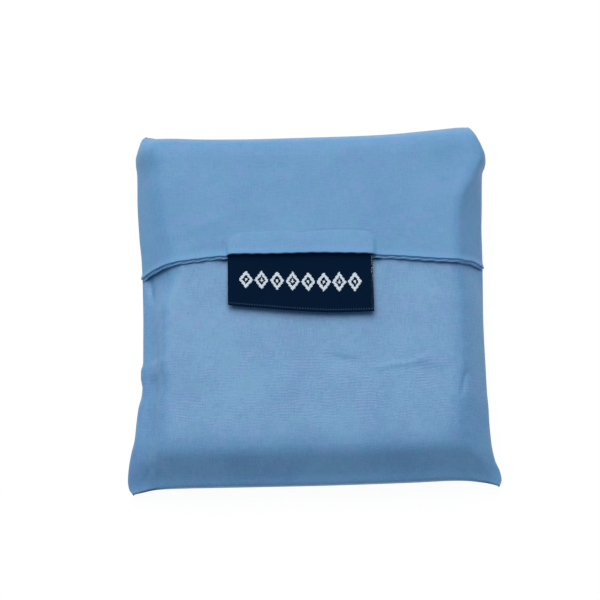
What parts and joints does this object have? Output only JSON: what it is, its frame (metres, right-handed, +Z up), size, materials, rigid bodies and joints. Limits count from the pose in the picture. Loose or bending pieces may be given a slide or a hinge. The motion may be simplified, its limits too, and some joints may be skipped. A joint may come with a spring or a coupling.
{
  "type": "foldable tote bag",
  "caption": "Fabric shopping tote folded to and fro inside its own square pouch, with a stitched hood over the pocket's mouth and a woven loop label under the hood's hem.",
  "frame": {"origin": "on the surface that the closed pouch lies on, under the middle of its box", "axes": "+Z up out of the pouch's front, +Y towards the hood's top fold, +X to the right as the front is read"},
  "size_m": [0.119, 0.1164, 0.0191],
  "materials": {
    "pouch_taffeta": "satin woven polyester taffeta, dusty blue",
    "tote_taffeta": "satin woven polyester taffeta, dusty blue",
    "sewing_thread": "spun polyester thread, dusty blue",
    "label_ribbon": "matt damask-woven ribbon, navy"
  },
  "bodies": {
    "pouch": {"pouch_back_panel": "pouch_taffeta", "pouch_front_panel": "pouch_taffeta", "pocket_hem": "pouch_taffeta", "pocket_hem_stitching": "sewing_thread", "left_side_seam": "pouch_taffeta", "right_side_seam": "pouch_taffeta", "left_seam_overlock": "sewing_thread", "right_seam_overlock": "sewing_thread", "tote_front_panel": "tote_taffeta", "tote_back_panel": "tote_taffeta", "tote_left_side_seam": "tote_taffeta", "tote_right_side_seam": "tote_taffeta", "tote_base_seam": "tote_taffeta", "tote_front_mouth_hem": "tote_taffeta", "tote_back_mouth_hem": "tote_taffeta", "tote_mouth_hem_stitching": "sewing_thread", "tote_front_handle": "tote_taffeta", "tote_back_handle": "tote_taffeta"},
    "hood": {"pouch_hood": "pouch_taffeta", "hood_hem": "pouch_taffeta", "hood_hem_stitching": "sewing_thread", "label_tail": "label_ribbon"},
    "label": {"woven_label": "label_ribbon"}
  },
  "joints": [
    {"name": "hood_flip", "type": "hinge", "parent": "pouch", "child": "hood", "pos_m": [0, 0.05825, 0.008], "axis": [-1, 0, 0], "range_deg": [0, 60]},
    {"name": "label_lift", "type": "hinge", "parent": "hood", "child": "label", "pos_m": [0, 0.01375, 0.0182], "axis": [-1, 0, 0], "range_deg": [0, 150]}
  ]
}
